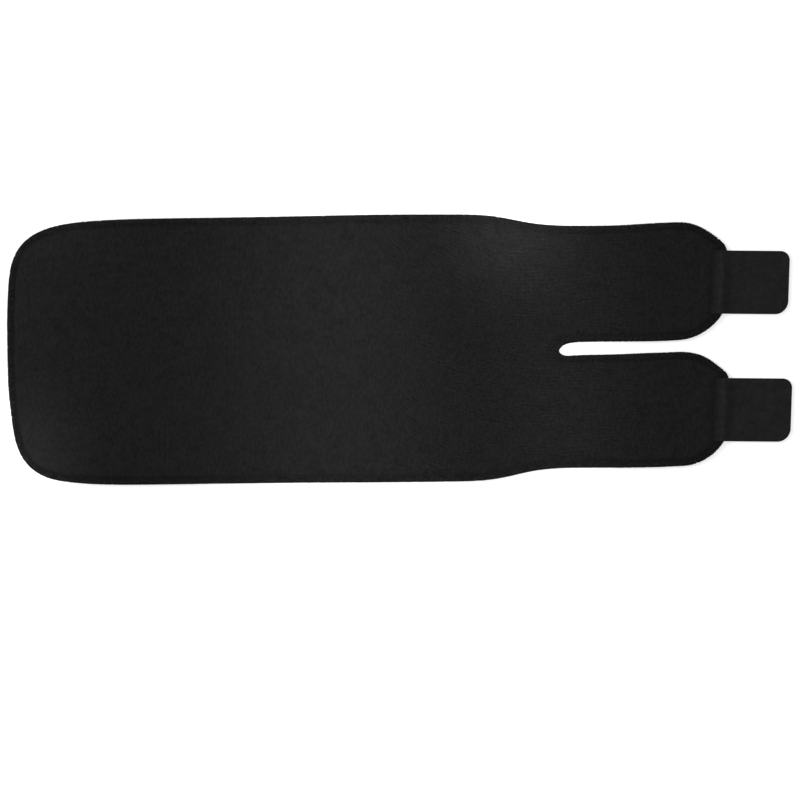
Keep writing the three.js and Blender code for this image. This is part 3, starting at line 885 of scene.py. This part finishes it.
def tape_row(place, across, side):
    """Points across the tape's upper and under side, at a place along it."""
    half = TAPE_HALF_WIDTH
    left = TAPE_LENGTH - place
    sewn_half = half_width_at(place, SEWN_CORNER)
    limits = [min(sewn_half, half_width_at(left, TAB_CORNERS[towards])) for towards in (1, -1)]
    x = np.interp(place, tape_run, side_view[:, 0])
    y = across / half * np.where(across > 0, *limits)
    bowed = ramp(place, BEND_RUN, BOW_START) * ramp(place, TAPE_LENGTH - BOW_FADE, -BOW_FADE)
    bow = CREST_BOW * (y / half) ** 2 * bowed
    at = np.interp(x + bow, *side_view.T)
    ahead = np.interp(x + bow + SLOPE_STEP, *side_view.T)
    slope = (ahead - at) / SLOPE_STEP
    normal = np.stack([-slope, np.ones_like(slope)], 1) / np.hypot(1, slope)[:, None]
    from_edge = np.minimum(half - np.abs(across), left)
    rounding = np.clip(np.minimum(from_edge / TAPE_EDGE, place / CUT_END), 0, 1)
    fullness = EDGE_SHARE + (1 - EDGE_SHARE) * np.sqrt(1 - (1 - rounding) ** 2)
    half_thickness = TAPE_THICKNESS / 2 * fullness
    over_reach = half_thickness - GROOVE * bump_at(from_edge, GROOVE_PLACE, GROOVE_HALF)
    dent = row_dent(np.full_like(y, x), y + TAIL_MIDDLE_Y)
    ripple = RIPPLES[0] * np.sin(y / 1.1 + side) + RIPPLES[1] * np.sin(y / 2.3 - side)
    over_seam = bump_at(x, CREST_X - 1, 3) * ripple
    middle = np.column_stack([
        x + TAPE_THICKNESS / 2 * normal[:, 0],
        y + side * TAIL_MIDDLE_Y,
        at + TAPE_THICKNESS / 2 * normal[:, 1] - dent + over_seam,
    ])
    out = np.column_stack([normal[:, 0], np.zeros_like(y), normal[:, 1]])
    return middle + over_reach[:, None] * out, middle - half_thickness[:, None] * out


def tape(name, side):
    """Hook tape of one tab as one woven piece, from its cut end on the tail to its free end."""
    places = tape_rows()
    selvedge = [0.9, 1.5, 2.1, 2.8]
    to_middle = np.concatenate([EDGE_ROWS, selvedge, np.linspace(4, TAPE_HALF_WIDTH, 16)])
    across = np.concatenate([to_middle - TAPE_HALF_WIDTH, (TAPE_HALF_WIDTH - to_middle[:-1])[::-1]])
    over, under = zip(*(tape_row(place, across, side) for place in places))
    columns, rows = len(across), len(places)
    index = np.arange(columns * rows).reshape(rows, columns)
    quads = np.stack([index[:-1, :-1], index[1:, :-1], index[1:, 1:], index[:-1, 1:]], 2).reshape(-1, 4)
    offset = columns * rows
    border = np.concatenate([index[0, :-1], index[:-1, -1], index[-1, :0:-1], index[:0:-1, 0]])
    after = np.roll(border, -1)
    rim = np.stack([after, border, border + offset, after + offset], 1)
    faces = np.vstack([quads, quads[:, ::-1] + offset, rim])
    woven = np.column_stack([np.repeat(places, columns), np.tile(across, rows)])
    uv = np.vstack([woven, woven])[faces.ravel()]
    points = placed(np.vstack(over + under), side)
    return mesh_object(name, points, faces, hook_tape, uv)


HOOK_RADIUS = 0.1
HOOK_ROW = 1.35  # distance between the rows
HOOK_COLUMN = 1.5  # distance between the hooks in a row
SELVEDGE = 2.2  # border of the tape that has no hooks
CORNER_BORDER = 0.7  # share of it that is left in the round corners
FIRST_HOOK = 0.6  # distance of the first row past the crest's foot
LAST_HOOK = 0.4  # distance that the last row keeps from the border at the free end
# Unevenness of the hooks: turned in radians, leaning as a slope, and out of place
HOOK_TURN = 0.14
HOOK_LEAN = 0.06
HOOK_SHIFT = 0.05
# Places along a hook: how far forward of its root, and how high over the table
HOOK_LINE = np.array([(0, 1.45), (0, 0.7), (0.1, 0.34), (0.34, 0.12), (0.6, 0.26), (0.68, 0.52)])


def in_corner(x, y):
    """Whether a place on a tab is in the round of a free corner, where no hooks stand."""
    radius = TAB_CORNERS[1 if y > 0 else -1]
    past = (x - (flap_high[0] - radius), abs(y) - (TAPE_HALF_WIDTH - radius))
    return min(past) > 0 and math.hypot(*past) > radius - SELVEDGE * CORNER_BORDER


def hook(x, y, middle_y, facing):
    """One hook of a tab whose middle is at middle_y; y is counted from there."""
    forward, height = HOOK_LINE.T
    turn = rng.normal(0, HOOK_TURN)
    lean = rng.normal(0, HOOK_LEAN) * (height[0] - height)
    heading = np.array([math.cos(turn) * facing, math.sin(turn)])
    path = np.column_stack([
        x + rng.normal(0, HOOK_SHIFT) + heading[0] * (forward + lean),
        y + middle_y + rng.normal(0, HOOK_SHIFT) + heading[1] * forward,
        height,
    ])
    aside = np.tile([-heading[1], heading[0], 0.001], (len(path), 1))
    return tube(path, aside, HOOK_RADIUS, HOOK_RADIUS, sides=4, closed=False)


def hooks(name, side):
    """Field of monofilament hooks under the free part of a tab; rows face forwards and back in turn."""
    reach = TAPE_HALF_WIDTH - SELVEDGE
    last = flap_high[0] - SELVEDGE - LAST_HOOK
    parts = []
    for k, x in enumerate(np.arange(FOOT_X + FIRST_HOOK, last, HOOK_ROW)):
        facing = 1 if k % 2 else -1
        for y in np.arange(-reach + (k % 2) * HOOK_COLUMN / 2, reach, HOOK_COLUMN):
            if not in_corner(x, y):
                parts.append(hook(x, y, side * TAIL_MIDDLE_Y, facing))
    vertices, faces, uv = joined(parts)
    return mesh_object(name, placed(vertices, side), faces, hook_nylon, uv)


# Places along a lockstitch: share of its length, and height over the tape or the lining
LOCK_SHARES = np.array([0, 0.12, 0.5, 0.88, 1])
LOCK_HEIGHTS = np.array([-0.5, 0.06, 0.2, 0.06, -0.5])
THREAD_FLATTENED = 0.8  # height of the pulled thread, as a share of its width


def lockstitches(name, side):
    """Row of stitches that holds a tab, as it shows on the tape and on the lining."""
    stitches = round(2 * ROW_REACH / TAPE_STITCH)
    holes = np.linspace(-ROW_REACH, ROW_REACH, stitches + 1)
    parts = []
    for start, end in zip(holes[:-1], holes[1:]):
        y = start + (end - start) * LOCK_SHARES
        x = np.full_like(y, ROW_X)
        on_tail = y + TAIL_MIDDLE_Y
        top = SEAT + TAPE_THICKNESS - row_dent(x, on_tail)
        bottom = level_height(x, on_tail, depth_of(np.column_stack([x, on_tail])), 0)
        for surface_z, above in ((top, 1), (bottom, -1)):
            path = np.column_stack([x, y + side * TAIL_MIDDLE_Y, surface_z + above * LOCK_HEIGHTS])
            up = np.tile([0.01, 0, above], (len(path), 1))  # a hair aside, so never along the thread
            half_height = SEWING_THREAD_RADIUS * THREAD_FLATTENED
            parts.append(tube(path, up, SEWING_THREAD_RADIUS, half_height, sides=6, closed=False))
    vertices, faces, uv = joined(parts)
    return mesh_object(name, placed(vertices, side), faces, lockstitch_thread, uv)


# ---------------------------------------- what moves with what

for layer_piece, node in ((lining, "lining"), (foam, "foam_core"), (face, "outer_face")):
    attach(layer_piece, "panel")
    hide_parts(node)
for thread in (upper_looper, lower_looper, needle_above, needle_below):
    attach(thread, "panel")
    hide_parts("edge_overlock")

for word, side in SIDES.items():
    cloth = tape(f"{word}_hook_tape", side)
    field = hooks(f"{word}_tape_hooks", side)
    row = lockstitches(f"{word}_tab_lockstitches", side)
    tab = f"{word}_tab"
    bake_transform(cloth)
    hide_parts(f"{tab}_sewn_end", f"{tab}_flap")
    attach(field, tab)
    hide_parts(f"{tab}_hooks")
    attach(row, "panel")


# ---------------------------------------- table, light and camera

TABLE_SIZE = 9000
TABLE_GLOW = 0.6
ROOM_LIGHT = 0.43
FRAME_WIDTH = 632
FRAME_CENTRE = (0.7, -40.3)
FRAME_TILT = 0.6
# Lamps that shine straight down: name, place, width and length, power and spread
LAMPS = (
    ("strip_over_the_body", (-45, 0, 640), (70, 560), 0.148, 25),
    ("strip_over_the_end", (-300, 26, 620), (30, 190), 0.0052, 10),
    ("strip_over_the_neck", (124, 0, 640), (66, 560), 0.054, 13),
    ("lamp_over_the_neck", (86, 92, 620), (36, 50), 0.0152, 12),
    ("lamp_over_the_near_corner", (-302, -86, 620), (40, 56), 0.0128, 12),
    ("lamp_over_the_far_corner", (-262, 98, 620), (60, 24), 0.0017, 8),
)


def seen_share(tree, unseen, seen):
    """Value that is seen for camera, glossy and transmission rays, and unseen for the light's own."""
    path = add(tree, "ShaderNodeLightPath")
    view = path.outputs["Is Camera Ray"]
    for ray in ("Is Glossy Ray", "Is Transmission Ray"):
        view = add(tree, "ShaderNodeMath", {0: view, 1: path.outputs[ray]}, operation="MAXIMUM")
    share = add(tree, "ShaderNodeMapRange", {"Value": view, "To Min": unseen, "To Max": seen})
    return share.outputs[0]


def table():
    # Matt laminate table top, near white: it takes the wrap's soft shadow and otherwise looks white.
    material, tree, shader = new_material(
        "white_table_laminate", Base_Color=colour("#e6e6e6"), Roughness=0.9
    )
    glow = add(tree, "ShaderNodeEmission", {"Strength": seen_share(tree, 0, TABLE_GLOW)})
    both = add(tree, "ShaderNodeAddShader", {0: shader, 1: glow})
    tree.links.new(both.outputs[0], tree.nodes["Material Output"].inputs["Surface"])
    half = TABLE_SIZE / 2
    corners = [(-half, -half, 0), (half, -half, 0), (half, half, 0), (-half, half, 0)]
    mesh_object("table_top", corners, [(0, 1, 2, 3)], material)


def room():
    """White room that gives the even part of the light."""
    world = bpy.data.worlds.new("white_room")
    world.use_nodes = True
    tree = world.node_tree
    background = tree.nodes["Background"]
    background.inputs["Color"].default_value = colour("#ffffff")
    tree.links.new(seen_share(tree, ROOM_LIGHT, 1), background.inputs["Strength"])
    bpy.context.scene.world = world


def softbox(name, centre, size, power, spread, target=None):
    """Area lamp with a grid that keeps its light within the spread, in degrees; power is in watts. It
    shines straight down, or at a target."""
    lamp = bpy.data.lights.new(name, "AREA")
    lamp.shape = "RECTANGLE"
    lamp.size, lamp.size_y = size[0] * MM, size[1] * MM
    lamp.energy = power
    lamp.spread = math.radians(spread)
    holder = put(name, lamp)
    holder.location = Vector(centre) * MM
    aim = Vector(target or (centre[0], centre[1], 0)) * MM - holder.location
    holder.rotation_euler = aim.to_track_quat("-Z", "Y").to_euler()


def camera():
    """Long lens straight above, turned a little so that the wrap lies askew in the frame."""
    lens = bpy.data.cameras.new("long_lens")
    lens.lens = 170
    lens.sensor_width = 36
    holder = put("camera", lens)
    distance = FRAME_WIDTH * lens.lens / lens.sensor_width
    holder.location = Vector((FRAME_CENTRE[0], FRAME_CENTRE[1], distance)) * MM
    holder.rotation_euler = (0, 0, math.radians(-FRAME_TILT))
    lens.clip_start, lens.clip_end = 0.1, 20
    bpy.context.scene.camera = holder


table()
room()
softbox("window_to_the_left", (-3700, 1280, 2560), (2000, 1400), 97, 180, target=(0, 0, 0))
for lamp in LAMPS:
    softbox(*lamp)
camera()
bpy.context.scene.view_settings.view_transform = "Standard"
